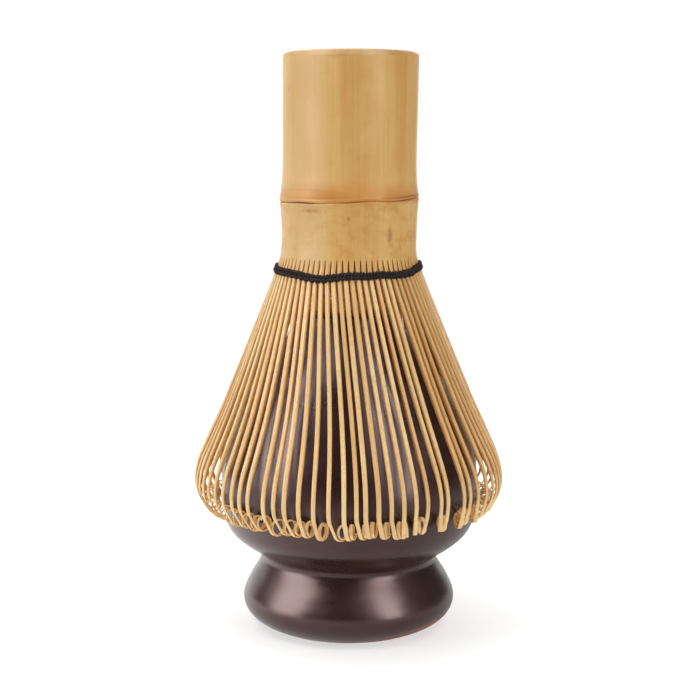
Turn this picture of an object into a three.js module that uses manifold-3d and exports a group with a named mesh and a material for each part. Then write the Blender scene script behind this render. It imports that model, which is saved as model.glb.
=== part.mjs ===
// A bamboo tea whisk standing on its ceramic holder.
//
// Millimetres, +Z up. The origin is the centre of the holder's foot, on the surface that it stands on.
// The whisk hangs tines down over the holder, and lifts straight up off it along +Z.
// One bamboo culm makes the whole whisk: its upper part is the handle, and below the node its wall is split
// into twelve sections, each divided again into six outer tines and six inner tines. A black thread,
// wound in two rows, holds the roots of the outer tines apart.

import * as THREE from "three";
import { mergeVertices } from "three/addons/utils/BufferGeometryUtils.js";
import Module from "manifold-3d";

const wasm = await Module();
wasm.setup();

// ---- Driving dimensions ----

const GAP = 0.3; // between separate solids that lie face to face

// Holder, from the foot up
const HOLDER_HEIGHT = 72;
const HOLDER_WALL = 3.2;
const FOOT_RADIUS = 18.4;
const FOOT_HOLE_RADIUS = 14.4;
const BASE_RADIUS = 24.3;
const BASE_RADIUS_Z = 6.6;
const WAIST_RADIUS = 19.7;
const WAIST_Z = 15.1;
const BULB_RADIUS = 29.5;
const BULB_RADIUS_Z = 29.2;
const FLANK_RADIUS = 24.2; // where the rounded bulb becomes the straight flank
const FLANK_Z = 46;
const MOUTH_RADIUS = 8.2;
const RIM_RADIUS = 11.4;

// Culm
const WHISK_TOP_Z = 130;
const CULM_TOP_RADIUS = 15.2;
const CULM_WAIST_RADIUS = 15.05;
const CULM_NODE_RADIUS = 15.65;
const CULM_BORE_RADIUS = 12.3;
const CULM_END_Z = 85.5; // where the wall is handed over to the tine sections
const NODE_Z = 97.6;
const NODE_RIDGE = 0.9; // half the height of the node's sharp ridge
const SEPTUM = 2; // thickness of the natural wall across the culm at its node
const EDGE_CHAMFER = 0.4;

// Tines
const SECTIONS = 12;
const TINES_PER_SECTION = 6;
const PITCH = (2 * Math.PI) / (SECTIONS * TINES_PER_SECTION);
const OUTER_WIDTH = 1.0;
const INNER_WIDTH = 0.28;
const OUTER_ROOT_THICKNESS = 1.1;
const OUTER_TIP_THICKNESS = 0.4;
const INNER_ROOT_THICKNESS = 0.7;
const INNER_TIP_THICKNESS = 0.3;
const SPLIT_Z = 83.4; // where the cuts between the tines begin
const WALL_PARTING_RADIUS = 13.75; // outer tines are split from the wall outside this, inner ones inside it

// Binding thread
const THREAD_RADIUS = 0.5;
const THREAD_UPPER_Z = 82.1;
const THREAD_PITCH = 1.1;
const THREAD_CLEARANCE = 0.12;

// ---- Helpers ----

const material = (color, roughness) => new THREE.MeshStandardMaterial({ color, roughness, metalness: 0 });
const bamboo = material(0xdcb478, 0.55);
const tineBamboo = material(0xe6c48c, 0.6);
const cotton = material(0x1f1b1d, 0.95);
const glaze = material(0x40302f, 0.35);

// A closed geometry as a manifold-3d solid, for joining.
function toSolid(geometry) {
  const bare = geometry.clone();
  bare.deleteAttribute("normal");
  bare.deleteAttribute("uv");
  const merged = mergeVertices(bare, 1e-4);
  return new wasm.Manifold(
    new wasm.Mesh({
      numProp: 3,
      vertProperties: new Float32Array(merged.attributes.position.array),
      triVerts: new Uint32Array(merged.index.array),
    }),
  );
}

function toGeometry(solid) {
  const made = solid.getMesh();
  const geometry = new THREE.BufferGeometry();
  geometry.setAttribute("position", new THREE.BufferAttribute(made.vertProperties, 3));
  geometry.setIndex(new THREE.BufferAttribute(made.triVerts, 1));
  geometry.computeVertexNormals();
  return geometry;
}

function namedMesh(name, geometry, finish) {
  const mesh = new THREE.Mesh(geometry, finish);
  mesh.name = name;
  return mesh;
}

// Turns a closed (radius, height) outline, drawn anticlockwise, about Z.
function turned(outline, sides) {
  const closed = [...outline, outline[0].clone()];
  return new THREE.LatheGeometry(closed, sides).rotateX(Math.PI / 2);
}

const at = (radius, z) => new THREE.Vector2(radius, z);

// ---- Holder: one hollow ceramic piece, open at the mouth and under the foot ----

function holderOutline() {
  const lip = (RIM_RADIUS - MOUTH_RADIUS) / 2;
  const outside = new THREE.Path();
  outside.moveTo(FOOT_RADIUS, 0);
  outside.bezierCurveTo(FOOT_RADIUS + 3.6, 0.6, BASE_RADIUS, 3.2, BASE_RADIUS, BASE_RADIUS_Z);
  outside.bezierCurveTo(BASE_RADIUS, 10.4, WAIST_RADIUS + 0.5, 12.6, WAIST_RADIUS, WAIST_Z);
  outside.bezierCurveTo(WAIST_RADIUS + 5.4, 18.4, BULB_RADIUS, 23, BULB_RADIUS, BULB_RADIUS_Z);
  outside.bezierCurveTo(BULB_RADIUS, 35, FLANK_RADIUS + 2.6, 41, FLANK_RADIUS, FLANK_Z);
  outside.lineTo(RIM_RADIUS, HOLDER_HEIGHT - lip);
  outside.absarc(MOUTH_RADIUS + lip, HOLDER_HEIGHT - lip, lip, 0, Math.PI, false);

  const inside = new THREE.Path();
  inside.moveTo(MOUTH_RADIUS, HOLDER_HEIGHT - lip - 1.6);
  inside.lineTo(FLANK_RADIUS - HOLDER_WALL, FLANK_Z - 1.6);
  inside.bezierCurveTo(
    BULB_RADIUS - HOLDER_WALL, 38, BULB_RADIUS - HOLDER_WALL, 32,
    BULB_RADIUS - HOLDER_WALL, BULB_RADIUS_Z,
  );
  inside.bezierCurveTo(
    BULB_RADIUS - HOLDER_WALL, 23, WAIST_RADIUS - HOLDER_WALL, 21,
    WAIST_RADIUS - HOLDER_WALL, WAIST_Z,
  );
  inside.bezierCurveTo(WAIST_RADIUS - HOLDER_WALL, 10, FOOT_HOLE_RADIUS, 6, FOOT_HOLE_RADIUS, 0);
  return [...outside.getPoints(4), ...inside.getPoints(2)];
}

// ---- Culm: handle, node ridge and the wall across the inside at the node ----

function handleOutline() {
  const outside = new THREE.Path();
  outside.moveTo(CULM_WAIST_RADIUS + 0.05, CULM_END_Z);
  outside.bezierCurveTo(
    CULM_WAIST_RADIUS - 0.1, 88, CULM_WAIST_RADIUS + 0.1, 94,
    CULM_NODE_RADIUS, NODE_Z - NODE_RIDGE,
  );
  outside.lineTo(CULM_NODE_RADIUS, NODE_Z);
  outside.lineTo(CULM_NODE_RADIUS - 0.35, NODE_Z + NODE_RIDGE);
  outside.bezierCurveTo(
    CULM_WAIST_RADIUS + 0.1, 102, CULM_WAIST_RADIUS, 106,
    CULM_TOP_RADIUS, WHISK_TOP_Z - EDGE_CHAMFER,
  );
  outside.lineTo(CULM_TOP_RADIUS - EDGE_CHAMFER, WHISK_TOP_Z);
  outside.lineTo(CULM_BORE_RADIUS + EDGE_CHAMFER, WHISK_TOP_Z);
  outside.lineTo(CULM_BORE_RADIUS, WHISK_TOP_Z - EDGE_CHAMFER);
  outside.lineTo(CULM_BORE_RADIUS, NODE_Z + SEPTUM / 2);
  outside.lineTo(0, NODE_Z + SEPTUM / 2);
  outside.lineTo(0, NODE_Z - SEPTUM / 2);
  outside.lineTo(CULM_BORE_RADIUS, NODE_Z - SEPTUM / 2);
  outside.lineTo(CULM_BORE_RADIUS, CULM_END_Z);
  return outside.getPoints(2);
}

// ---- Tines ----

// Centreline of an outer tine in the (radius, height) plane: down from the culm, out along a straight
// flank, round the belly and into the steamed curl at its tip.
const outerLine = new THREE.SplineCurve([
  at(14.45, CULM_END_Z), at(14.75, 83.6), at(16.1, 80.2), at(19.6, 72.4), at(25.0, 60.0), at(30.7, 46.8),
  at(34.1, 38.8), at(35.0, 34.0), at(34.3, 30.0), at(32.7, 27.4), at(31.1, 26.9), at(30.3, 28.3),
]);

// Centreline of an inner tine: gathered in from the culm to a slim bundle that goes down into the mouth.
const innerLine = new THREE.SplineCurve([
  at(12.95, CULM_END_Z), at(12.5, 82.6), at(7.3, 72.0), at(5.2, 64.0), at(4.6, 52.0),
]);

// A strip of the given thickness along a line, drawn as a closed outline.
function stripShape(line, steps, thicknessAt) {
  const left = [];
  const right = [];
  for (let i = 0; i <= steps; i++) {
    const u = i / steps;
    const centre = line.getPoint(u);
    const along = line.getTangent(u);
    const half = thicknessAt(u) / 2;
    left.push(at(centre.x - along.y * half, centre.y + along.x * half));
    right.push(at(centre.x + along.y * half, centre.y - along.x * half));
  }
  return new THREE.Shape([...left, ...right.reverse()]);
}

function tine(line, steps, width, rootThickness, tipThickness) {
  const thicknessAt = (u) => THREE.MathUtils.lerp(rootThickness, tipThickness, Math.min(1, u * 2));
  const shape = stripShape(line, steps, thicknessAt);
  return new THREE.ExtrudeGeometry(shape, { depth: width, bevelEnabled: false })
    .translate(0, 0, -width / 2)
    .rotateX(Math.PI / 2);
}

// The stretch of culm wall, still whole, from which one section's tines are split.
function rootArc(innerRadius, outerRadius) {
  const span = SECTION_ANGLE - GAP / outerRadius;
  const arc = new THREE.Shape();
  arc.absarc(0, 0, outerRadius, -span / 2, span / 2, false);
  arc.absarc(0, 0, innerRadius, span / 2, -span / 2, true);
  const height = CULM_END_Z - GAP / 2 - SPLIT_Z;
  return new THREE.ExtrudeGeometry(arc, { depth: height, bevelEnabled: false, curveSegments: 1 })
    .translate(0, 0, SPLIT_Z);
}

const SECTION_ANGLE = TINES_PER_SECTION * PITCH;

function section(arc, makeTine) {
  let comb = toSolid(arc);
  const belowHandle = CULM_END_Z - GAP / 2;
  for (let i = 0; i < TINES_PER_SECTION; i++) {
    const turn = (i - (TINES_PER_SECTION - 1) / 2) * PITCH;
    const whole = toSolid(makeTine().rotateZ(turn));
    comb = comb.add(whole.trimByPlane([0, 0, -1], -belowHandle));
  }
  return toGeometry(comb);
}

const outerSection = () =>
  section(rootArc(WALL_PARTING_RADIUS + GAP / 2, CULM_WAIST_RADIUS), () =>
    tine(outerLine, 11, OUTER_WIDTH, OUTER_ROOT_THICKNESS, OUTER_TIP_THICKNESS),
  );

const innerSection = () =>
  section(rootArc(CULM_BORE_RADIUS, WALL_PARTING_RADIUS - GAP / 2), () =>
    tine(innerLine, 4, INNER_WIDTH, INNER_ROOT_THICKNESS, INNER_TIP_THICKNESS),
  );

// ---- Thread: one row lies round the outside of the outer tines ----

// The outer tines' outside radius at a height near their roots.
const outerFaceRadius = (z) => THREE.MathUtils.mapLinear(z, 83.6, 80.2, 15.25, 16.65);

function threadRow(z) {
  const lowestZ = z - THREAD_RADIUS;
  const centreRadius = outerFaceRadius(lowestZ) + THREAD_CLEARANCE + THREAD_RADIUS;
  return new THREE.TorusGeometry(centreRadius, THREAD_RADIUS, 6, 36).translate(0, 0, z);
}

// ---- Assembly ----

const holder = new THREE.Group();
holder.add(namedMesh("holder", turned(holderOutline(), 36), glaze));

const whisk = new THREE.Group();
whisk.add(namedMesh("handle", turned(handleOutline(), 36), bamboo));

const outerComb = outerSection();
const innerComb = innerSection();
for (let i = 0; i < SECTIONS; i++) {
  const number = String(i + 1).padStart(2, "0");
  const turn = (i + 0.5) * SECTION_ANGLE;
  const outer = namedMesh("outer_tines_" + number, outerComb, tineBamboo);
  const inner = namedMesh("inner_tines_" + number, innerComb, tineBamboo);
  outer.rotation.z = turn;
  inner.rotation.z = turn;
  whisk.add(outer, inner);
}

whisk.add(namedMesh("thread_upper", threadRow(THREAD_UPPER_Z), cotton));
whisk.add(namedMesh("thread_lower", threadRow(THREAD_UPPER_Z - THREAD_PITCH), cotton));

const assembly = new THREE.Group();
assembly.add(holder, whisk);

export default assembly;
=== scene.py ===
"""Looks of a bamboo tea whisk standing on its ceramic holder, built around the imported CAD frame.

Shapes are worked out in millimetres, in the frame's own axes: +Z up, origin under the holder's foot. They
become metres when a mesh is made. Azimuth 0 is the front, towards -Y, and grows towards +X.
"""

import math
import random

import bmesh
import bpy
import numpy as np
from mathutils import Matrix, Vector


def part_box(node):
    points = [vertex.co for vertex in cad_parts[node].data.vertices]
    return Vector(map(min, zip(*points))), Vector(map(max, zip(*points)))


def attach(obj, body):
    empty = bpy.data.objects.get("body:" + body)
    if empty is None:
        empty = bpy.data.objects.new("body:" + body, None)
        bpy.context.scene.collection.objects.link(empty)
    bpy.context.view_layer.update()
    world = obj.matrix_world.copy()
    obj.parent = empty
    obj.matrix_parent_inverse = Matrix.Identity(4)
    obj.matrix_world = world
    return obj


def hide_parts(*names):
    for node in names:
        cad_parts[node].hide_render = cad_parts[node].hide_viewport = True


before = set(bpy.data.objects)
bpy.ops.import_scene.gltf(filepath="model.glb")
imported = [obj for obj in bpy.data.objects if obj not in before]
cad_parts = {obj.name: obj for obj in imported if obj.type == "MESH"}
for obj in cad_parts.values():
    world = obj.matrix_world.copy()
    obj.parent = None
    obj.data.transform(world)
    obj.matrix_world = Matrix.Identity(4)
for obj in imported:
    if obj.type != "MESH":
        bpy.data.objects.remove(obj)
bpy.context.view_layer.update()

MM = 0.001
TAU = 2 * math.pi

# ---- Sizes taken from the frame, in millimetres ----


def box_mm(node):
    low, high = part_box(node)
    return np.array(low) / MM, np.array(high) / MM


SECTIONS = sum(name.startswith("outer_tines_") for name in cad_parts)
SECTION_NAMES = ["%02d" % (i + 1) for i in range(SECTIONS)]
HOLDER_HIGH = box_mm("holder")[1]
HANDLE_LOW, HANDLE_HIGH = box_mm("handle")
THREAD_LOW = box_mm("thread_lower")[0]
THREAD_HIGH = box_mm("thread_upper")[1]

HOLDER_TOP = HOLDER_HIGH[2]
BULB_RADIUS = HOLDER_HIGH[0]
CULM_TOP = HANDLE_HIGH[2]
CULM_END = HANDLE_LOW[2]
THREAD_MIDDLE = (THREAD_LOW[2] + THREAD_HIGH[2]) / 2

# ---- Driving dimensions of the looks, in millimetres ----

TINES_PER_SECTION = 6
TINES = SECTIONS * TINES_PER_SECTION
PITCH = TAU / TINES

CULM_WALL_INSIDE = 12.3  # the radius of the handle's bore
SPLIT_TOP = CULM_END - 0.6  # the height where the culm is split into tines
SPLIT_LAYER = 1.3  # the outer tines' share of the culm wall, measured in from the skin
NODE_Z = 97.6  # the height of the node's line
SEPTUM = 2.0  # thickness of the natural wall across the culm at the node

rng = random.Random(11)  # every chance is drawn from this, in a fixed order

# ---- Camera ----

CAMERA_SIDE = 0.0003  # metres to +X of the holder's axis
CAMERA_DISTANCE = 0.325  # metres
CAMERA_HEIGHT = 0.105  # metres
CAMERA_PITCH_DOWN = 7.33  # degrees
CAMERA_LENS = 73.7  # millimetres, on a sensor of SENSOR_WIDTH
SENSOR_WIDTH = 36


def make_camera():
    data = bpy.data.cameras.new("camera")
    data.lens = CAMERA_LENS
    data.sensor_width = SENSOR_WIDTH
    data.clip_start = 0.01
    camera = bpy.data.objects.new("camera", data)
    camera.location = (CAMERA_SIDE, -CAMERA_DISTANCE, CAMERA_HEIGHT)
    camera.rotation_euler = (math.radians(90 - CAMERA_PITCH_DOWN), 0, 0)
    bpy.context.scene.collection.objects.link(camera)
    bpy.context.scene.camera = camera


make_camera()

# ---- Mesh helpers ----


def make_mesh(name, vertices, faces, materials, face_slots=None, tones=None, smooth_angle=50):
    """A mesh object from vertices in millimetres. tones gives each vertex a number for its material."""
    mesh = bpy.data.meshes.new(name)
    mesh.from_pydata([tuple(v) for v in np.asarray(vertices) * MM], [], faces)
    for material in materials:
        mesh.materials.append(material)
    if face_slots is not None:
        mesh.polygons.foreach_set("material_index", face_slots)
    if tones is not None:
        attribute = mesh.attributes.new("tone", "FLOAT", "POINT")
        attribute.data.foreach_set("value", tones)
    work = bmesh.new()
    work.from_mesh(mesh)
    bmesh.ops.remove_doubles(work, verts=work.verts, dist=1e-7)
    bmesh.ops.recalc_face_normals(work, faces=work.faces)
    work.to_mesh(mesh)
    work.free()
    mesh.shade_smooth()
    mesh.set_sharp_from_angle(angle=math.radians(smooth_angle))
    piece = bpy.data.objects.new(name, mesh)
    bpy.context.scene.collection.objects.link(piece)
    return piece


def grid_faces(rows, columns, first=0, closed=False):
    """Quads between rows that each close on themselves. closed also joins the last row to the first."""
    faces = []
    for row in range(rows if closed else rows - 1):
        here = first + row * columns
        below = first + (row + 1) % rows * columns
        for column in range(columns):
            beside = (column + 1) % columns
            faces.append((here + column, here + beside, below + beside, below + column))
    return faces


CURVE_POINTS = 24  # worked out between two given points of a smooth line


def smooth_line(points, steps):
    """Evenly spaced points along a centripetal Catmull-Rom curve through the given ones."""
    p = np.array(points, float)
    p = np.vstack([2 * p[0] - p[1], p, 2 * p[-1] - p[-2]])
    dense = []
    for i in range(1, len(p) - 2):
        knots = [0.0]
        for j in range(3):
            knots.append(knots[-1] + np.linalg.norm(p[i + j] - p[i + j - 1]) ** 0.5)
        t = np.linspace(knots[1], knots[2], CURVE_POINTS, endpoint=False)[:, None]
        a = [
            (knots[j + 1] - t) / (knots[j + 1] - knots[j]) * p[i + j - 1]
            + (t - knots[j]) / (knots[j + 1] - knots[j]) * p[i + j]
            for j in range(3)
        ]
        b = [
            (knots[j + 2] - t) / (knots[j + 2] - knots[j]) * a[j]
            + (t - knots[j]) / (knots[j + 2] - knots[j]) * a[j + 1]
            for j in range(2)
        ]
        to_go = (knots[2] - t) / (knots[2] - knots[1])
        done = (t - knots[1]) / (knots[2] - knots[1])
        dense.append(to_go * b[0] + done * b[1])
    dense = np.vstack(dense + [p[-2:-1]])
    return evenly(dense, steps)


def evenly(line, steps):
    """steps + 1 points spaced evenly along a polyline."""
    lengths = np.concatenate([[0], np.cumsum(np.linalg.norm(np.diff(line, axis=0), axis=1))])
    wanted = np.linspace(0, lengths[-1], steps + 1)
    return np.stack([np.interp(wanted, lengths, line[:, k]) for k in range(line.shape[1])], axis=1)


def size_at(line, z):
    """Size at each height on straight lines through (height, size) points."""
    heights, sizes = zip(*line)
    return np.interp(z, heights, sizes)


def smoothstep(low, high, x):
    """0 where x is at low and 1 where it is at high, with an S between them."""
    t = np.clip((np.asarray(x, float) - low) / (high - low), 0, 1)
    return t * t * (3 - 2 * t)


def around(radius, azimuth, z):
    """A point at an azimuth measured from the front, towards +X."""
    radius, azimuth, z = np.broadcast_arrays(radius, azimuth, z)
    return np.stack([radius * np.sin(azimuth), -radius * np.cos(azimuth), z], axis=-1)


# ---- Material helpers ----


class Shader:
    """A small builder for one material's node tree."""

    def __init__(self, name, roughness):
        self.material = bpy.data.materials.new(name)
        self.material.use_nodes = True
        self.nodes = self.material.node_tree.nodes
        self.links = self.material.node_tree.links
        self.surface = self.nodes["Principled BSDF"]
        self.surface.inputs["Roughness"].default_value = roughness
        self.place = self.nodes.new("ShaderNodeTexCoord").outputs["Object"]

    def put(self, socket, value):
        if isinstance(value, bpy.types.NodeSocket):
            self.links.new(value, socket)
        elif value is not None:
            socket.default_value = value

    def math(self, operation, a, b=None, c=None, clamp=False):
        node = self.nodes.new("ShaderNodeMath")
        node.operation = operation
        node.use_clamp = clamp
        for socket, value in zip(node.inputs, (a, b, c)):
            self.put(socket, value)
        return node.outputs[0]

    def stretched(self, scale):
        node = self.nodes.new("ShaderNodeMapping")
        node.inputs["Scale"].default_value = scale
        self.links.new(self.place, node.inputs["Vector"])
        return node.outputs[0]

    def noise(self, scale, detail=3, roughness=0.5, distortion=0.0):
        node = self.nodes.new("ShaderNodeTexNoise")
        node.inputs["Scale"].default_value = 1
        node.inputs["Detail"].default_value = detail
        node.inputs["Roughness"].default_value = roughness
        node.inputs["Distortion"].default_value = distortion
        self.links.new(self.stretched(scale), node.inputs["Vector"])
        return node.outputs["Fac"]

    def ramp(self, value, low, high, to_low=0.0, to_high=1.0, smooth=True):
        node = self.nodes.new("ShaderNodeMapRange")
        node.interpolation_type = "SMOOTHSTEP" if smooth else "LINEAR"
        node.clamp = True
        for key, number in (("From Min", low), ("From Max", high), ("To Min", to_low), ("To Max", to_high)):
            node.inputs[key].default_value = number
        self.put(node.inputs["Value"], value)
        return node.outputs["Result"]

    def mix(self, amount, a, b, blend="MIX"):
        node = self.nodes.new("ShaderNodeMix")
        node.data_type = "RGBA"
        node.blend_type = blend
        self.put(node.inputs["Factor"], amount)
        self.put(node.inputs["A"], a)
        self.put(node.inputs["B"], b)
        return node.outputs["Result"]

    def attribute(self, name):
        node = self.nodes.new("ShaderNodeAttribute")
        node.attribute_name = name
        return node.outputs["Fac"]

    def split_place(self):
        node = self.nodes.new("ShaderNodeSeparateXYZ")
        self.links.new(self.place, node.inputs[0])
        return node.outputs

    def spot(self, centre_mm, size_mm):
        """1 at a place on the surface, fading to 0 at size_mm from it along each axis."""
        move = self.nodes.new("ShaderNodeMapping")
        move.vector_type = "TEXTURE"
        move.inputs["Location"].default_value = [c * MM for c in centre_mm]
        move.inputs["Scale"].default_value = [s * MM for s in size_mm]
        self.links.new(self.place, move.inputs["Vector"])
        length = self.nodes.new("ShaderNodeVectorMath")
        length.operation = "LENGTH"
        self.links.new(move.outputs[0], length.inputs[0])
        return self.ramp(length.outputs["Value"], 0.2, 1.0, 1.0, 0.0)

    def bump(self, height, distance_mm, strength=1.0, under=None):
        node = self.nodes.new("ShaderNodeBump")
        node.inputs["Strength"].default_value = strength
        node.inputs["Distance"].default_value = distance_mm * MM
        self.links.new(height, node.inputs["Height"])
        if under is not None:
            self.links.new(under, node.inputs["Normal"])
        return node.outputs[0]

    def finish(self, color, roughness=None, normal=None):
        self.put(self.surface.inputs["Base Color"], color)
        self.put(self.surface.inputs["Roughness"], roughness)
        if normal is not None:
            self.links.new(normal, self.surface.inputs["Normal"])
        return self.material


def srgb(red, green, blue):
    """A colour given on the 0 to 255 display scale, as the linear colour that shaders take."""
    channels = [c / 255 for c in (red, green, blue)]
    linear = [c / 12.92 if c <= 0.04045 else ((c + 0.055) / 1.055) ** 2.4 for c in channels]
    return (*linear, 1.0)


# ---- Bamboo ----


STAINS = [  # (place, how far it reaches along each axis) of the marks on the skin below the node
    ((-8.4, -12.9, 95.3), (3.4, 3.4, 0.6)),
    ((0.0, -15.2, 93.6), (0.55, 1.0, 0.7)),
    ((9.0, -12.4, 89.8), (0.8, 2.0, 3.4)),
]


def culm_skin():
    """Peeled bamboo skin: broad tonal bands and fine fibres along the culm, darker round the node, and a
    paler band on the left that is partly its own colour and partly painted light for the side facing the
    left softbox.
    """
    s = Shader("culm_skin", 0.42)
    s.surface.inputs["Specular IOR Level"].default_value = 0.16
    broad = s.noise((150, 150, 9), detail=3, roughness=0.55)
    fine = s.noise((1500, 1500, 22), detail=3, roughness=0.6)
    hair = s.noise((5200, 5200, 60), detail=2, roughness=0.6)
    cloud = s.noise((70, 70, 60), detail=4, roughness=0.6)
    color = s.mix(s.ramp(broad, 0.33, 0.68), srgb(224, 183, 116), srgb(212, 159, 87))
    color = s.mix(s.ramp(cloud, 0.42, 0.72, 0, 0.45), color, srgb(230, 194, 134))
    color = s.mix(s.ramp(fine, 0.38, 0.75, 0, 0.24), color, srgb(200, 141, 68))
    color = s.mix(s.ramp(hair, 0.5, 0.8, 0, 0.2), color, srgb(232, 202, 146))

    x, y, height = s.split_place()
    blotch = s.ramp(s.noise((330, 330, 400), detail=4, roughness=0.6, distortion=0.15), 0.42, 0.68)
    below_node = s.ramp(height, NODE_Z * MM, (NODE_Z + 3) * MM, 0.6, 0.16)
    color = s.mix(s.math("MULTIPLY", blotch, below_node), color, srgb(206, 146, 72))
    # A paler band down the culm's left: partly the skin's own colour, partly painted light for the side that
    # faces the left softbox.
    towards_left = s.math("SUBTRACT", s.math("MULTIPLY", x, -0.82), s.math("MULTIPLY", y, 0.57))
    pale_band_and_lit_side = s.ramp(towards_left, 0.0112, 0.0132)
    color = s.mix(s.math("MULTIPLY", pale_band_and_lit_side, 0.4), color, srgb(212, 184, 134))

    warm_below = s.ramp(height, (NODE_Z - 1.2) * MM, (NODE_Z + 0.2) * MM)
    warm_above = s.ramp(height, (NODE_Z + 1.0) * MM, (NODE_Z + 4.6) * MM, 1, 0)
    patchy = s.ramp(s.noise((95, 95, 160), detail=3), 0.34, 0.62, 0.5, 1.0)
    paler_left = s.ramp(x, -0.013, -0.003, 0.7, 1.0)
    warm_height = s.math("MULTIPLY", warm_below, warm_above)
    warm = s.math("MULTIPLY", warm_height, s.math("MULTIPLY", patchy, paler_left))
    color = s.mix(warm, color, srgb(204, 137, 66))
    rings = s.noise((60, 60, 2600), detail=2)
    color = s.mix(s.math("MULTIPLY", warm, s.ramp(rings, 0.5, 0.7, 0, 0.4)), color, srgb(172, 108, 56))

    node_line = s.ramp(s.attribute("tone"), 0.15, 0.9)
    color = s.mix(node_line, color, srgb(126, 66, 38))

    stain = 0.0
    for place, reach in STAINS:
        stain = s.math("MAXIMUM", stain, s.spot(place, reach))
    stain = s.math("MULTIPLY", stain, s.ramp(s.noise((900, 900, 700), detail=3), 0.3, 0.6, 0.2, 0.62))
    color = s.mix(stain, color, srgb(160, 102, 50))
    speck = s.ramp(s.noise((420, 420, 260), detail=1), 0.76, 0.82, 0, 0.2)
    color = s.mix(speck, color, srgb(150, 92, 44))

    rough = s.ramp(fine, 0.3, 0.7, 0.36, 0.5)
    normal = s.bump(hair, 0.02, 0.5, under=s.bump(fine, 0.05, 0.6))
    return s.finish(color, rough, normal)


def sawn_bamboo():
    """End grain, with the dark dots of the fibre bundles."""
    s = Shader("sawn_bamboo", 0.6)
    cells = s.nodes.new("ShaderNodeTexVoronoi")
    cells.inputs["Scale"].default_value = 1
    s.links.new(s.stretched((2300, 2300, 400)), cells.inputs["Vector"])
    dots = s.ramp(cells.outputs["Distance"], 0.12, 0.42, 1, 0)
    cloud = s.noise((240, 240, 60), detail=3)
    color = s.mix(s.ramp(cloud, 0.35, 0.7), srgb(222, 180, 102), srgb(208, 156, 80))
    color = s.mix(s.math("MULTIPLY", dots, 0.65), color, srgb(150, 92, 44))
    return s.finish(color, None, s.bump(dots, 0.04, 0.5))


def filed_bamboo():
    """Bamboo filed smooth, at the bevel round the handle's end."""
    s = Shader("filed_bamboo", 0.5)
    soft = s.noise((260, 260, 260), detail=3)
    color = s.mix(s.ramp(soft, 0.35, 0.7), srgb(192, 148, 78), srgb(180, 130, 62))
    return s.finish(color)


def culm_inside():
    """The pale papery lining of the hollow culm."""
    s = Shader("culm_inside", 0.65)
    streaks = s.noise((700, 700, 18), detail=4, roughness=0.65)
    flakes = s.noise((160, 160, 120), detail=4, roughness=0.6)
    color = s.mix(s.ramp(streaks, 0.35, 0.7), srgb(226, 204, 158), srgb(196, 158, 102))
    color = s.mix(s.ramp(flakes, 0.55, 0.75, 0, 0.5), color, srgb(178, 134, 82))
    return s.finish(color, None, s.bump(streaks, 0.12, 0.6))


def tine_skin():
    """The shaved face of an outer tine. Each tine has its own tone, and painted shade darkens the tines
    towards +X, away from the left softbox.
    """
    s = Shader("tine_skin", 0.46)
    s.surface.inputs["Specular IOR Level"].default_value = 0.25
    tone = s.attribute("tone")
    fine = s.noise((2600, 2600, 60), detail=3, roughness=0.6)
    broad = s.noise((160, 160, 40), detail=2)
    color = s.mix(tone, srgb(244, 212, 154), srgb(210, 160, 96))
    color = s.mix(s.ramp(broad, 0.4, 0.7, 0, 0.4), color, srgb(212, 160, 94))
    color = s.mix(s.ramp(fine, 0.45, 0.75, 0, 0.4), color, srgb(204, 148, 82))
    return s.finish(color, s.ramp(fine, 0.3, 0.7, 0.4, 0.56), s.bump(fine, 0.03, 0.6))


def tine_flesh(name, light, dark, roughness):
    """Split bamboo off the skin: coarser fibres and a browner colour."""
    s = Shader(name, roughness)
    s.surface.inputs["Specular IOR Level"].default_value = 0.2
    fine = s.noise((3200, 3200, 50), detail=3, roughness=0.65)
    color = s.mix(s.attribute("tone"), light, dark)
    color = s.mix(s.ramp(fine, 0.4, 0.75, 0, 0.5), color, dark)
    return s.finish(color, None, s.bump(fine, 0.05, 0.7))


CULM_SKIN = culm_skin()
SAWN_BAMBOO = sawn_bamboo()
CULM_INSIDE = culm_inside()
FILED_BAMBOO = filed_bamboo()
TINE_SKIN = tine_skin()
TINE_SIDE = tine_flesh("tine_side", srgb(238, 192, 122), srgb(198, 130, 66), 0.55)
INNER_BAMBOO = tine_flesh("inner_bamboo", srgb(246, 196, 124), srgb(208, 138, 72), 0.62)

# ---- Culm: the handle, with the arched tops of the splits cut into its lower edge ----

COLUMNS_PER_TINE = 4
CULM_COLUMNS = TINES * COLUMNS_PER_TINE
SPLIT_RADIUS = 15.44  # of the skin at the top of the splits
CULM_SKIN_LINE = [  # (height, radius) of the skin above the splits, without the node's ridge
    (SPLIT_TOP, SPLIT_RADIUS), (86.5, 15.28), (88.5, 15.22), (91.0, 15.25), (94.0, 15.37), (96.6, 15.55),
    (98.2, 15.57), (99.5, 15.42), (101.5, 15.2), (104.5, 15.05), (108.0, 15.02), (118.0, 15.1),
    (CULM_TOP, 15.18),
]
NODE_WAVE = [  # (azimuth in degrees, height of the node's line above its mean)
    (-110, -0.5), (-80, -0.65), (-45, -0.6), (-25, -0.78), (-8, -0.6), (20, -0.25), (36, -0.3), (80, 0.35),
    (140, 0.2), (200, -0.2),
]
FLARE_END = THREAD_MIDDLE - 0.9  # the split teeth reach down to here, behind the thread
HANDLE_LEAN = 0.4  # how far the handle's end stands to +X of the node
HANDLE_SHIFT = 0.14  # how far the whole handle stands to +X of the tine cage
NODE_CLOSE = (-2.4, 2.6)  # heights from the node between which the skin is meshed finely
END_DIP = 0.15  # the handle is sawn off a little low at the front
SHOULDER = CULM_TOP - 2.4  # where the skin begins to round over into the bevel
BEVEL_WIDTH = 0.62
BEVEL_AT_SIDES = 0.45  # the bevel's height there
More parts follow.
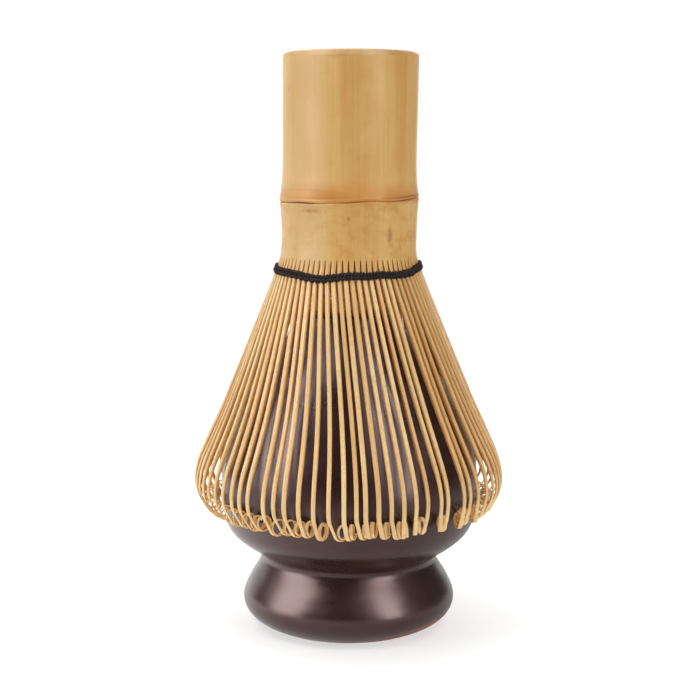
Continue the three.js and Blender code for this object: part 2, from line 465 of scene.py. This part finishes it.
BEVEL_FRONT_EXTRA = 1.15  # what its height has more at the front and back
SEPTUM_TOP = [(12.1, 0.6), (11.5, 0.15), (9.5, 0.05), (6.5, -0.1), (3.2, -0.2), (0.0, -0.25)]
SEPTUM_UNDERSIDE = [(0.0, 0.2), (3.2, 0.2), (6.5, 0.1), (9.5, 0.0), (11.5, -0.2), (12.1, -0.6)]
TOOTH_ROWS = 13


def cyclic(points, azimuth):
    """Smooth value round the axis through (azimuth in degrees, value) points."""
    angles = np.radians([p[0] for p in points])
    values = np.array([p[1] for p in points], float)
    order = np.argsort(angles % TAU)
    angles, values = (angles % TAU)[order], values[order]
    angles = np.concatenate([[angles[-1] - TAU], angles, [angles[0] + TAU]])
    values = np.concatenate([[values[-1]], values, [values[0]]])
    spot = np.asarray(azimuth) % TAU
    index = np.clip(np.searchsorted(angles, spot) - 1, 0, len(angles) - 2)
    part = smoothstep(0, 1, (spot - angles[index]) / (angles[index + 1] - angles[index]))
    return values[index] * (1 - part) + values[index + 1] * part


def culm_radius(z, azimuth):
    """Skin radius above the splits. The node's ridge and groove follow a slightly wavy line."""
    line = np.array(CULM_SKIN_LINE)
    fine_z = np.linspace(line[0, 0], line[-1, 0], 400)
    fine_r = smooth_profile(line, fine_z)
    radius = np.interp(z, fine_z, fine_r)
    from_node = z - NODE_Z - cyclic(NODE_WAVE, azimuth)
    ridge = 0.16 * np.exp(-((from_node + 0.35) / 0.34) ** 2)
    groove = 0.24 * np.exp(-(from_node / 0.15) ** 2)
    lip = 0.14 * np.exp(-((from_node - 0.5) / 0.3) ** 2)
    return radius + ridge + lip - groove


def smooth_profile(line, heights):
    """Radius at each height on a smooth line through (height, radius) points."""
    curve = smooth_line(line, 300)
    return np.interp(heights, curve[:, 0], curve[:, 1])


def lean(points):
    """The handle's own slight bend towards +X, and its small step to that side from the tine cage."""
    bent = points.copy()
    height = points[..., 2]
    rise = np.clip((height - NODE_Z) / (CULM_TOP - NODE_Z), 0, 1)
    bent[..., 0] += HANDLE_LEAN * rise + HANDLE_SHIFT * smoothstep(SPLIT_TOP, SPLIT_TOP + 6, height)
    return bent


def tine_azimuth(i):
    """Azimuth of a tine's root. The splits are a little closer together at the front than at the back."""
    even = (i + 0.5) * PITCH
    return even - 0.05 * math.sin(even)


def tine_half_pitch(i):
    """Half the angle between the splits on a tine's two sides."""
    return (tine_azimuth(i + 0.5) - tine_azimuth(i - 0.5)) / 2


def split_half_gap(z):
    """Half the width of the cut between two tines' roots: a pointed arch that opens downwards."""
    depth = np.clip(SPLIT_TOP - z, 0, None)
    return 0.2 * (1 - np.exp(-depth / 0.9)) + 0.01 * depth


CAGE_LINE = [  # (height, radius) of the outer tines' skin, from the top of the splits to the curls
    (SPLIT_TOP, SPLIT_RADIUS), (83.8, 15.74), (82.4, 16.2), (81.0, 16.7), (79.7, 17.18), (75.6, 18.8),
    (70.0, 21.05), (61.6, 24.45), (56.0, 26.8), (50.6, 29.15), (46.8, 30.95), (42.0, 33.2), (39.5, 34.3),
    (36.7, 35.1), (33.9, 35.38), (31.2, 34.85), (29.6, 34.05),
]
CAGE_CURVE = smooth_line(CAGE_LINE, 600)[::-1]


def cage_radius(z):
    """Skin radius of the split wall and of the outer tines."""
    return np.interp(z, CAGE_CURVE[:, 0], CAGE_CURVE[:, 1])


def make_handle():
    """The culm from its bevelled end to the splits, its bore and node wall, and the roots of the tines."""
    columns = CULM_COLUMNS
    azimuth = np.arange(columns) * TAU / columns
    end_z = CULM_TOP - END_DIP * (1 + np.cos(azimuth))
    bevel_low = end_z - BEVEL_AT_SIDES - BEVEL_FRONT_EXTRA * np.cos(azimuth) ** 2
    rows = []
    tones = []
    slots = []

    def add_row(radius, z, slot, tone=0.0):
        rows.append(lean(around(radius, azimuth, z)))
        tones.append(np.broadcast_to(np.asarray(tone, float), columns))
        slots.append(slot)

    # The skin, with a dark line along the node and a fainter second one over its right half
    skin, sawn, lining, filed = 0, 1, 2, 4
    near, far = (NODE_Z + reach for reach in NODE_CLOSE)
    heights = np.concatenate([
        np.linspace(SPLIT_TOP, near, 22, endpoint=False),
        np.linspace(near, far, 52, endpoint=False),
        np.linspace(far, SHOULDER, 30),
    ])
    for z in heights:
        from_line = z - NODE_Z - cyclic(NODE_WAVE, azimuth)
        line = np.exp(-(from_line / 0.2) ** 2)
        strength = 0.6 + 0.4 * np.cos(5 * azimuth + 1) * np.sin(3 * azimuth)
        second = 0.7 * np.exp(-((from_line - 0.75) / 0.22) ** 2) * smoothstep(0.1, 0.9, np.sin(azimuth))
        add_row(culm_radius(z, azimuth), z, skin, np.clip(line * strength + second, 0, 1))

    # The rounded shoulder, the filed bevel and the sawn end
    end_radius = culm_radius(SHOULDER, azimuth)
    for part in (0.5, 0.96):
        add_row(end_radius, SHOULDER + (bevel_low - SHOULDER) * part, skin)
    for part, rise in ((0.0, 0.0), (0.12, 0.2), (0.5, 0.55), (0.85, 0.85)):
        z = bevel_low + (end_z - 0.04 - bevel_low) * rise
        add_row(end_radius - BEVEL_WIDTH * part, z, skin if part == 0 else filed)
    for inset in np.linspace(0, 1, 7):
        radius = (end_radius - BEVEL_WIDTH) * (1 - inset) + (CULM_WALL_INSIDE + 0.3) * inset
        add_row(radius, end_z, sawn)

    # Down the bore to the node wall, and from its underside down to the splits
    add_row(CULM_WALL_INSIDE + 0.06, end_z - 0.25, lining)
    ripple = 0.10 * np.sin(3 * azimuth + 0.4) + 0.06 * np.sin(7 * azimuth)
    for z in np.linspace(CULM_TOP - 0.8, NODE_Z + SEPTUM / 2 + 1.4, 18):
        add_row(CULM_WALL_INSIDE + ripple, z, lining)
    for radius, z in SEPTUM_TOP:
        add_row(radius, NODE_Z + SEPTUM / 2 + z, lining)
    for radius, z in SEPTUM_UNDERSIDE:
        add_row(radius, NODE_Z - SEPTUM / 2 + z, lining)
    for z in np.linspace(NODE_Z - SEPTUM / 2 - 1.4, SPLIT_TOP, 10):
        add_row(CULM_WALL_INSIDE, z, lining)
    add_row(SPLIT_RADIUS - SPLIT_LAYER, SPLIT_TOP, lining)

    vertices = np.concatenate(rows)
    faces = grid_faces(len(rows), columns)
    face_slots = [slots[row + 1] for row in range(len(rows) - 1) for _ in range(columns)]
    tone_list = np.concatenate(tones)

    teeth_vertices, teeth_faces, teeth_slots = teeth_below()
    faces += [tuple(index + len(vertices) for index in face) for face in teeth_faces]
    vertices = np.vstack([vertices, teeth_vertices])
    tone_list = np.concatenate([tone_list, np.zeros(len(teeth_vertices))])
    face_slots += teeth_slots
    handle = make_mesh(
        "handle_culm", vertices, faces, [CULM_SKIN, SAWN_BAMBOO, CULM_INSIDE, TINE_SIDE, FILED_BAMBOO],
        face_slots, tone_list, 38,
    )
    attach(handle, "whisk")
    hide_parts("handle")


def teeth_below():
    """The roots of the outer tines, from the top of the splits down to behind the thread."""
    skin, split_side = 0, 3
    heights = SPLIT_TOP - (SPLIT_TOP - FLARE_END) * np.linspace(0, 1, TOOTH_ROWS) ** 1.5
    across = np.linspace(-1, 1, COLUMNS_PER_TINE + 1)
    vertices = []
    faces = []
    slots = []
    for i in range(TINES):
        first = len(vertices)
        jitter = rng.uniform(-0.12, 0.12)
        for z in heights:
            radius = cage_radius(z)
            gap = split_half_gap(z + jitter * smoothstep(0, 0.8, SPLIT_TOP - z)) / radius
            opened = smoothstep(0, 1.2, SPLIT_TOP - z)
            for side in across:
                azimuth = tine_azimuth(i) + side * (tine_half_pitch(i) - gap)
                rounded = radius - 0.13 * opened * side**2
                vertices.append(around(rounded, azimuth, z))
            for side in across:
                azimuth = tine_azimuth(i) + side * (tine_half_pitch(i) - gap * 1.15)
                vertices.append(around(radius - SPLIT_LAYER, azimuth, z))
        count = COLUMNS_PER_TINE + 1
        ring = 2 * count
        for row in range(len(heights) - 1):
            top = first + row * ring
            low = top + ring
            for c in range(count - 1):
                faces.append((top + c, top + c + 1, low + c + 1, low + c))
                faces.append((top + count + c, low + count + c, low + count + c + 1, top + count + c + 1))
                slots += [skin, split_side]
            faces.append((top, low, low + count, top + count))
            faces.append((top + count - 1, top + 2 * count - 1, low + 2 * count - 1, low + count - 1))
            slots += [split_side, split_side]
        last = first + (len(heights) - 1) * ring
        for c in range(count - 1):
            faces.append((last + c, last + c + 1, last + count + c + 1, last + count + c))
            slots.append(split_side)
    return np.array(vertices), faces, slots


# ---- Swept strips: every tine is one ----

STRIP_SIDES = [  # (across, outwards) of a strip's corners, in halves of its width and thickness
    (-1, -0.45), (-0.72, -1), (0.72, -1), (1, -0.45), (1, 0.45), (0.72, 1), (-0.72, 1), (-1, 0.45),
]
STRIP_FACE_SLOTS = [1, 1, 1, 1, 0, 0, 0, 1]  # the faces towards the outside of the whisk are skin


def sweep_strip(path, sideways, widths, thicknesses):
    """Sweeps a strip with eased edges along a path. sideways is its width direction at each point."""
    along = np.gradient(path, axis=0)
    along /= np.linalg.norm(along, axis=1)[:, None]
    sideways = sideways - along * np.sum(sideways * along, axis=1)[:, None]
    sideways /= np.linalg.norm(sideways, axis=1)[:, None]
    outward = np.cross(along, sideways)
    rings = []
    for across, out in STRIP_SIDES:
        aside = sideways * (across * widths / 2)[:, None]
        rings.append(path + aside + outward * (out * thicknesses / 2)[:, None])
    vertices = np.stack(rings, axis=1).reshape(-1, 3)
    count = len(STRIP_SIDES)
    faces = grid_faces(len(path), count)
    slots = STRIP_FACE_SLOTS * (len(path) - 1)
    faces.append(tuple(reversed(range(count))))
    faces.append(tuple(range(len(vertices) - count, len(vertices))))
    slots += [1, 1]
    return vertices, faces, slots


def gather(strips):
    """Joins (vertices, faces, slots, tone) strips into the arrays of one mesh."""
    vertices, faces, slots, tones = [], [], [], []
    first = 0
    for strip_vertices, strip_faces, strip_slots, tone in strips:
        vertices.append(strip_vertices)
        faces += [tuple(index + first for index in face) for face in strip_faces]
        slots += strip_slots
        tones.append(np.broadcast_to(tone, len(strip_vertices)))
        first += len(strip_vertices)
    return np.vstack(vertices), faces, slots, np.concatenate(tones)


# ---- Outer tines ----

TINE_TOP = THREAD_MIDDLE - 0.1  # hidden by the thread
LEAN_TOP = THREAD_MIDDLE - 0.4  # a tine starts to lean below this height
LEAN_END = 36  # from this height down it has its full lean
TINE_STEPS = 46  # along the flank, and again round the curl
CURL_CENTRE = (31.4, 28.75)  # (radius, height)
CURL_RADIUS = 1.85
CURL_START = -25  # degrees on the curl's circle, where the flank runs into it
TWIST = 21  # degrees that the curls are turned from the radial plane
TINE_WIDTH = 1.0
CURL_RISE = 0.6  # how much higher the curls hang at the whisk's sides than at its front
CAGE_LEAN = 8.4  # degrees that a tine leans round the axis, from the thread down to the belly
FRONT_LEANS = [  # (tine counted from the front, its lean), where some stand closer together than others
    (-17, 8.6), (-12, 9.5), (-10, 7.7), (-9, 9.7), (-7, 8.3), (-3, 10.3), (-2, 9.8), (-1, 8.2), (4, 7.0),
    (5, 7.8), (6, 6.0), (7, 9.2), (8, 7.8), (9, 7.8), (11, 10.4), (14, 9.6),
]
CURL_THICKNESS = 0.28
TINE_THICKNESS = [  # (height, thickness) down to where the curl begins
    (30.0, CURL_THICKNESS), (35.0, 0.5), (41.0, 0.88), (55.0, 0.95), (80.0, 1.05),
]


def tine_lean(i):
    """How far a tine leans round the axis, in radians. Away from the front it is left to chance."""
    usual = rng.gauss(CAGE_LEAN, 0.9)
    tines, leans = zip(*FRONT_LEANS)
    place = (i - tines[0]) % TINES + tines[0]
    return math.radians(np.interp(place, tines, leans) if place <= tines[-1] else usual)


def outer_tine(i):
    """One tine from behind the thread down the cage's flank and round its curl, with chances of its own."""
    lean_angle = tine_lean(i)
    bow = rng.uniform(-0.35, 0.2)
    drop = rng.uniform(-0.22, 0.3)
    turns = rng.uniform(1.25, 1.9)
    size = rng.uniform(0.9, 1.03)
    tightening = rng.uniform(0.12, 0.32)
    twist = math.radians(TWIST + rng.gauss(0, 6))
    drift = rng.uniform(0.5, 1.5)
    width = TINE_WIDTH * rng.uniform(0.92, 1.08)

    # The tine in its own plane: down the cage's flank, then round the curl
    curled = np.linspace(0, 1, TINE_STEPS)
    angles = math.radians(CURL_START) - curled * TAU * turns
    curl_radius = CURL_RADIUS * size * (1 - tightening * curled)
    curl_out = CURL_CENTRE[0] + curl_radius * np.cos(angles)
    curl_up = CURL_CENTRE[1] + curl_radius * np.sin(angles)
    curl = np.stack([curl_out, curl_up], axis=1)
    cage_height, cage_skin = CAGE_CURVE.T
    flank_out = cage_skin - size_at(TINE_THICKNESS, cage_height) / 2
    flank = np.stack([flank_out, cage_height], axis=1)[::-1]
    flank = flank[flank[:, 1] < TINE_TOP]
    flank[:, 0] += bow * smoothstep(80, 56, flank[:, 1]) * smoothstep(32, 46, flank[:, 1])
    line = np.vstack([evenly(np.vstack([flank, curl[:1]]), TINE_STEPS)[:-1], curl])
    line[:, 1] += drop * smoothstep(50, 32, line[:, 1])
    line[:, 1] += CURL_RISE * math.sin(tine_azimuth(i)) ** 2 * smoothstep(33, 28.5, line[:, 1])
    radius, z = line[:, 0], line[:, 1]
    in_curl = np.concatenate([np.zeros(TINE_STEPS), curled])

    # What goes back in towards the axis below the belly is turned out of the radial plane
    still_upright = np.clip((z - LEAN_END) / (LEAN_TOP - LEAN_END), 0, 1) ** 1.9
    azimuth = tine_azimuth(i) + lean_angle * (1 - still_upright)
    belly = int(np.argmax(radius))
    below_belly = np.arange(len(radius)) > belly
    inward = np.where(below_belly, radius[belly] - radius, 0)
    turned = twist * np.where(below_belly, smoothstep(0, 0.8, inward), 0)
    radial = radius + inward * (1 - np.cos(turned))
    lateral = inward * np.sin(turned) + drift * in_curl
    outward = around(1, azimuth, 0)
    along = np.stack([np.cos(azimuth), np.sin(azimuth), np.zeros(len(z))], axis=1)
    path = outward * radial[:, None] + along * lateral[:, None]
    path[:, 2] = z
    sideways = along * np.cos(turned)[:, None] + outward * np.sin(turned)[:, None]
    widths = width * (1 - 0.06 * smoothstep(46, 32, z)) * (1 - 0.38 * in_curl)
    thick = np.where(in_curl > 0, CURL_THICKNESS, size_at(TINE_THICKNESS, z))
    vertices, faces, slots = sweep_strip(path, sideways, widths, thick)
    # Each tine's tone is its own chance, plus painted shade: the tines towards +X, away from the left
    # softbox, are painted darker.
    tone_and_shade = np.clip(rng.uniform(0.15, 0.8) + 0.22 * math.sin(tine_azimuth(i)), 0, 1)
    tones = tone_and_shade * (1 - 0.85 * smoothstep(41, 31, z))
    return vertices, faces, slots, np.repeat(tones, len(STRIP_SIDES))


def make_outer_tines():
    for section, number in enumerate(SECTION_NAMES):
        strips = [outer_tine(section * TINES_PER_SECTION + k) for k in range(TINES_PER_SECTION)]
        vertices, faces, slots, tones = gather(strips)
        comb = make_mesh("outer_comb_" + number, vertices, faces, [TINE_SKIN, TINE_SIDE], slots, tones, 60)
        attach(comb, "whisk")
        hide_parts("outer_tines_" + node_number(section))


def node_number(section):
    """The frame's combs are numbered from +X towards +Y; these are numbered from the front towards +X."""
    return SECTION_NAMES[(section - SECTIONS // 4) % SECTIONS]


# ---- Inner tines ----

INNER_TIP = 52.0  # the height that the bundle's tips reach down to
INNER_LINE = [  # (radius, height) of an inner tine, from its root to its tip
    (12.95, SPLIT_TOP + 0.3), (13.0, 82.5), (12.9, 80.0), (12.3, 77.6), (11.0, 75.2), (9.1, 73.1),
    (7.5, 71.0), (6.5, 67.6), (5.2, 60.0), (4.5, INNER_TIP),
]
INNER_WIDTH = [(INNER_TIP, 0.22), (64, 0.36), (72, 0.55), (78, 0.85), (SPLIT_TOP, 1.05)]  # (height, width)
INNER_THICKNESS = [(INNER_TIP, 0.22), (70, 0.5), (SPLIT_TOP, 0.8)]  # (height, thickness)
INNER_TWIST = 42  # degrees that the bundle is wrung round its axis, root to tip


def inner_tine(i):
    """One thin tine, drawn in from the culm wall and wrung with the others into a bundle."""
    spread = rng.gauss(0, 0.22)
    offset = rng.uniform(-0.25, 0.35)
    line = smooth_line(INNER_LINE, 34)
    radius, z = line[:, 0], line[:, 1]
    down = smoothstep(SPLIT_TOP, 62, z)
    radius = radius + offset * smoothstep(SPLIT_TOP, 76, z) * (0.4 + 0.6 * smoothstep(60, 72, z))
    azimuth = tine_azimuth(i) + spread * PITCH * down + math.radians(INNER_TWIST) * down
    path = around(radius, azimuth, z)
    sideways = np.stack([np.cos(azimuth), np.sin(azimuth), np.zeros(len(z))], axis=1)
    widths = size_at(INNER_WIDTH, z) * rng.uniform(0.85, 1.1)
    thick = size_at(INNER_THICKNESS, z)
    vertices, faces, slots = sweep_strip(path, sideways, widths, thick)
    return vertices, faces, [0] * len(slots), rng.random()


def make_inner_tines():
    for section, number in enumerate(SECTION_NAMES):
        strips = [inner_tine(section * TINES_PER_SECTION + k) for k in range(TINES_PER_SECTION)]
        vertices, faces, slots, tones = gather(strips)
        comb = make_mesh("inner_comb_" + number, vertices, faces, [INNER_BAMBOO], slots, tones, 60)
        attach(comb, "whisk")
        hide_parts("inner_tines_" + node_number(section))


# ---- Thread ----

THREAD_RADIUS = 0.57  # of one row, over both of its plies
PLY_RADIUS = THREAD_RADIUS * 0.63
PLY_LAY = THREAD_RADIUS * 0.4  # from the row's middle line to the middle of each ply
PLY_SIDES = 8
THREAD_STEPS = 2160  # round the whisk
THREAD_WEAVE = 0.08  # how far a row dips between the tines
THREAD_STAND_OFF = 0.02  # of a row's middle line from the tines' skin
THREAD_DROP = 0.6  # how far its mean line hangs below the middle of the CAD part
THREAD_GAP = 0.74  # between the middles of the two rows
THREAD_SAG = [  # (azimuth in degrees, height above the thread's mean line)
    (-72, 0.8), (-56, 0.65), (-43, 0.4), (-32, -0.05), (-26, -0.28), (-19, -0.32), (-12, -0.05),
    (-2, 0.3), (6, 0.38), (14, 0.34), (25, 0.54), (34, 0.38), (44, 0.4), (54, 0.63), (66, 1.3),
    (76, 1.6), (90, 1.9), (125, 0.5), (160, -0.1), (200, 0.3), (240, 0.1), (268, 1.3),
]


def thread_cotton():
    s = Shader("thread_cotton", 0.85)
    fibre = s.noise((4200, 4200, 4200), detail=3, roughness=0.7)
    color = s.mix(s.ramp(fibre, 0.35, 0.75), srgb(26, 17, 16), srgb(58, 42, 38))
    s.surface.inputs["Specular IOR Level"].default_value = 0.2
    return s.finish(color, None, s.bump(fibre, 0.08, 0.8))


def thread_row(name, node, offset, hand, cotton):
    """Two plies laid round each other, dipping between the tines. hand, 1 or -1, is how they turn."""
    azimuth = np.arange(THREAD_STEPS) * TAU / THREAD_STEPS
    z = THREAD_MIDDLE - THREAD_DROP + offset + cyclic(THREAD_SAG, azimuth)
    weave = THREAD_WEAVE * np.cos(TINES * (azimuth - PITCH / 2))
    radius = cage_radius(z) + THREAD_STAND_OFF + weave
    middle = around(radius, azimuth, z)
    out = around(1, azimuth, 0)
    up = np.zeros((THREAD_STEPS, 3))
    up[:, 2] = 1
    vertices = []
    faces = []
    for ply in range(2):
        phase = hand * TINES * azimuth + ply * math.pi
        centre = middle + out * (PLY_LAY * np.cos(phase))[:, None] + up * (PLY_LAY * np.sin(phase))[:, None]
        for side in range(PLY_SIDES):
            turn = side * TAU / PLY_SIDES
            aside = out * (PLY_RADIUS * math.cos(turn)) + up * (PLY_RADIUS * math.sin(turn))
            vertices.append(centre + aside)
        faces += grid_faces(PLY_SIDES, THREAD_STEPS, ply * PLY_SIDES * THREAD_STEPS, closed=True)
    row = make_mesh(name, np.vstack(vertices), faces, [cotton], None, None, 180)
    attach(row, "whisk")
    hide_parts(node)


# ---- Holder ----

FOOT_RADIUS = 18.6
FOOT_HOLE_RADIUS = 14.4
RIM_RADIUS = 11.4
MOUTH_RADIUS = 8.2
BULB_SHIFT = 0.2  # how far the bulb stands to +X of the base and of the mouth
WAIST_Z = 17  # the height of the crease between the bulb and the base
WAIST_TILT = 0.3  # how much lower the crease is at +X, and higher at -X, than at the front
HOLDER_COLUMNS = 160
HOLDER_LINE = [  # (radius, height) down the outside, from the rim to the edge of the foot
    (RIM_RADIUS + 1.2, 68.4), (14.8, 65.6), (17.5, 62.2), (20.4, 58.0), (23.0, 53.4), (25.3, 48.6),
    (27.2, 43.6), (28.6, 38.8), (29.25, 35.4), (BULB_RADIUS - 0.03, 32.4), (29.4, 29.6), (29.2, 27.2),
    (28.8, 25.2), (28.1, 23.3), (26.85, 21.5), (25.2, 20.0), (23.4, 18.7), (21.85, 17.7), (20.85, 17.0),
    (20.35, 16.4), (20.2, 15.8), (20.3, 15.1), (20.75, 14.2), (21.4, 13.1), (22.1, 12.0), (22.75, 10.9),
    (23.3, 9.8), (23.9, 8.5), (24.25, 7.4), (24.4, 6.2), (24.2, 4.9), (23.4, 3.3), (21.7, 1.7),
    (19.7, 0.6), (FOOT_RADIUS, 0.2),
]
HOLDER_INSIDE = [  # (radius, height) up the inside, from the hole in the foot to the mouth
    (FOOT_HOLE_RADIUS, 0.6), (14.6, 4.0), (16.0, 9.0), (16.9, 15.6), (19.6, 19.6), (23.6, 23.8),
    (25.8, 28.2), (26.2, 33.0), (25.0, 39.6), (22.0, 47.0), (18.4, 54.6), (14.2, 61.4), (10.4, 66.4),
    (MOUTH_RADIUS, 68.8),
]
CLAY_SIDE = 0.019  # metres to +X where the glaze stops highest above the foot
CLAY_RISE = 0.0034  # metres that it stops above the foot there
CLAY_WAVER = 0.0009  # metres by which its edge goes up and down


def holder_profile():
    """(radius, height) over the rim, down the outside and up the inside, and where the inside begins."""
    lip = (RIM_RADIUS - MOUTH_RADIUS) / 2
    rim = [
        (MOUTH_RADIUS + lip - lip * math.cos(a), HOLDER_TOP - lip + lip * math.sin(a))
        for a in np.linspace(0, math.pi, 14, endpoint=False)
    ]
    outside = smooth_line([(RIM_RADIUS, HOLDER_TOP - lip), *HOLDER_LINE], 180)
    foot = np.array([
        (FOOT_RADIUS - 0.15, 0.07), (FOOT_RADIUS - 0.5, 0.0), (FOOT_RADIUS - 1.4, 0.0),
        (FOOT_HOLE_RADIUS + 1.4, 0.0), (FOOT_HOLE_RADIUS + 0.5, 0.0), (FOOT_HOLE_RADIUS + 0.12, 0.15),
    ])
    inside = smooth_line(HOLDER_INSIDE, 50)
    return np.vstack([rim, outside, foot, inside]), len(rim) + len(outside) + len(foot)


def holder_glaze():
    """Satin dark brown glaze that stops just above the foot, where the red clay shows."""
    s = Shader("holder_glaze", 0.3)
    s.surface.inputs["Specular IOR Level"].default_value = 0.65
    s.surface.inputs["Specular Tint"].default_value = (1.0, 0.765, 0.74, 1.0)
    cloud = s.noise((110, 110, 150), detail=4, roughness=0.6)
    grain = s.noise((1500, 1500, 1500), detail=3, roughness=0.6)
    color = s.mix(s.ramp(cloud, 0.35, 0.68), srgb(42, 21, 18), srgb(52, 28, 24))
    color = s.mix(s.ramp(grain, 0.55, 0.8, 0, 0.3), color, srgb(72, 44, 38))
    pits = s.ramp(s.noise((900, 900, 900), detail=1), 0.77, 0.83, 0, 0.12)
    color = s.mix(pits, color, srgb(20, 13, 12))
    x, _, z = s.split_place()
    bare_side = s.math("POWER", s.ramp(x, 0.0, CLAY_SIDE, smooth=False), 1.5)
    waver = s.math("MULTIPLY", s.noise((130, 130, 0), detail=2), CLAY_WAVER)
    edge = s.math("MULTIPLY_ADD", bare_side, CLAY_RISE, waver)
    clay = s.ramp(s.math("SUBTRACT", z, edge), 0.0, 0.00012, 1, 0)
    clay_color = s.mix(s.ramp(grain, 0.35, 0.7), srgb(144, 90, 76), srgb(112, 68, 58))
    color = s.mix(clay, color, clay_color)
    rough = s.math("ADD", s.ramp(cloud, 0.3, 0.7, 0.26, 0.34), s.math("MULTIPLY", clay, 0.5), clamp=True)
    rings = s.noise((20, 20, 500), detail=2)
    normal = s.bump(rings, 0.05, 0.35, under=s.bump(grain, 0.02, 0.35))
    return s.finish(color, rough, normal)


def raw_clay():
    """Unglazed red-brown clay inside the holder."""
    s = Shader("raw_clay", 0.85)
    grain = s.noise((1700, 1700, 1700), detail=4, roughness=0.65)
    rings = s.noise((15, 15, 700), detail=2)
    color = s.mix(s.ramp(grain, 0.35, 0.7), srgb(158, 92, 70), srgb(120, 64, 48))
    return s.finish(color, None, s.bump(rings, 0.2, 0.6, under=s.bump(grain, 0.06, 0.6)))


def make_holder():
    """The pot as one turned skin, with a hand-thrown wobble that leaves the foot and the mouth round."""
    profile, inside_from = holder_profile()
    azimuth = np.arange(HOLDER_COLUMNS) * TAU / HOLDER_COLUMNS
    rows = []
    for radius, z in profile:
        wobble = 0.05 * np.sin(2 * azimuth + 0.11 * z) + 0.03 * np.sin(3 * azimuth - 0.07 * z)
        wobble = wobble * smoothstep(0, 5, z) * smoothstep(10, 14, radius)
        crease = WAIST_TILT * np.sin(azimuth) * math.exp(-((z - WAIST_Z) / 3.5) ** 2)
        row = around(radius + wobble, azimuth, z - crease)
        row[:, 0] += BULB_SHIFT * smoothstep(WAIST_Z, WAIST_Z + 4, z) * smoothstep(60, 40, z)
        rows.append(row)
    vertices = np.concatenate(rows)
    faces = grid_faces(len(rows), HOLDER_COLUMNS, closed=True)
    face_slots = [int(row >= inside_from) for row in range(len(rows)) for _ in range(HOLDER_COLUMNS)]
    holder = make_mesh("holder_pot", vertices, faces, [holder_glaze(), raw_clay()], face_slots, None, 60)
    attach(holder, "holder")
    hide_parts("holder")


# ---- Studio, in metres ----

LIT_HEIGHT = 0.06  # the lights point at the axis here
SOFTBOX_TILT = 37  # degrees above the floor
SOFTBOX_DISTANCE = 0.9
SOFTBOX_TALL = 1.45
SOFTBOXES = [  # (name, azimuth, width, light on matt surfaces, extra light in reflections)
    ("left", -72, 0.64, 1.6, 5.3),
    ("right", 46, 0.42, 1.6, 4.7),
]
FLOOR_RADIUS = 0.36
DOME_RADIUS = 2.4


def area_light(name, azimuth, elevation, distance, size, radiance):
    """A rectangular light. Its radiance doesn't depend on its size."""
    data = bpy.data.lights.new(name, "AREA")
    data.shape = "RECTANGLE"
    data.size, data.size_y = size
    data.energy = 4 * radiance * size[0] * size[1]
    light = bpy.data.objects.new(name, data)
    turn, tilt = math.radians(azimuth), math.radians(elevation)
    flat = distance * math.cos(tilt)
    target = Vector((0, 0, LIT_HEIGHT))
    light.location = (flat * math.sin(turn), -flat * math.cos(turn), LIT_HEIGHT + distance * math.sin(tilt))
    light.rotation_euler = (target - light.location).to_track_quat("-Z", "Y").to_euler()
    bpy.context.scene.collection.objects.link(light)
    return light


def plain_surface(name, color, glow, left_glow=0.0, right_glow=0.0):
    """A matt surface that glows. In reflections the glow of its left or right part is added."""
    s = Shader(name, 0.9)
    s.surface.inputs["Specular IOR Level"].default_value = 0.1
    s.surface.inputs["Emission Color"].default_value = (1, 1, 1, 1)
    reflected = s.nodes.new("ShaderNodeLightPath").outputs["Is Glossy Ray"]
    across = s.ramp(s.split_place()[0], -0.12, 0.04, left_glow, right_glow)
    s.put(s.surface.inputs["Emission Strength"], s.math("MULTIPLY_ADD", reflected, across, glow))
    return s.finish(color)


def make_studio():
    """A white floor inside a white dome, two tall softboxes in front, and soft lights behind and above."""
    world = bpy.data.worlds.new("studio")
    world.use_nodes = True
    background = world.node_tree.nodes["Background"]
    background.inputs["Color"].default_value = (1, 1, 1, 1)
    background.inputs["Strength"].default_value = 0.1
    bpy.context.scene.world = world
    bpy.context.scene.view_settings.view_transform = "Standard"

    bpy.ops.mesh.primitive_circle_add(vertices=96, radius=FLOOR_RADIUS, fill_type="NGON", location=(0, 0, 0))
    floor = bpy.context.object
    floor.name = "floor"
    floor.data.materials.append(plain_surface("floor_white", srgb(185, 185, 185), 0.58, 0.8, -0.3))

    bpy.ops.mesh.primitive_uv_sphere_add(segments=48, ring_count=24, radius=DOME_RADIUS, location=(0, 0, 0))
    dome = bpy.context.object
    dome.name = "white_dome"
    dome.data.materials.append(plain_surface("dome_white", srgb(0, 0, 0), 1.0))
    dome.visible_diffuse = False
    dome.visible_glossy = False
    dome.visible_shadow = False

    for name, azimuth, width, soft, glint in SOFTBOXES:
        size = (width, SOFTBOX_TALL)
        area_light("softbox_" + name, azimuth, SOFTBOX_TILT, SOFTBOX_DISTANCE, size, soft)
        just_before = SOFTBOX_DISTANCE - 0.01
        area_light("glint_" + name, azimuth, SOFTBOX_TILT, just_before, size, glint).visible_diffuse = False
    area_light("backdrop_glow", -170, 30, 0.9, (2.0, 1.3), 1.0)
    area_light("overhead", 0, 88, 1.2, (1.5, 1.5), 1.0).visible_glossy = False


# ---- Build ----

make_studio()
make_holder()
make_handle()
make_outer_tines()
make_inner_tines()
COTTON = thread_cotton()
thread_row("thread_cord_upper", "thread_upper", THREAD_GAP / 2, 1, COTTON)
thread_row("thread_cord_lower", "thread_lower", -THREAD_GAP / 2, -1, COTTON)
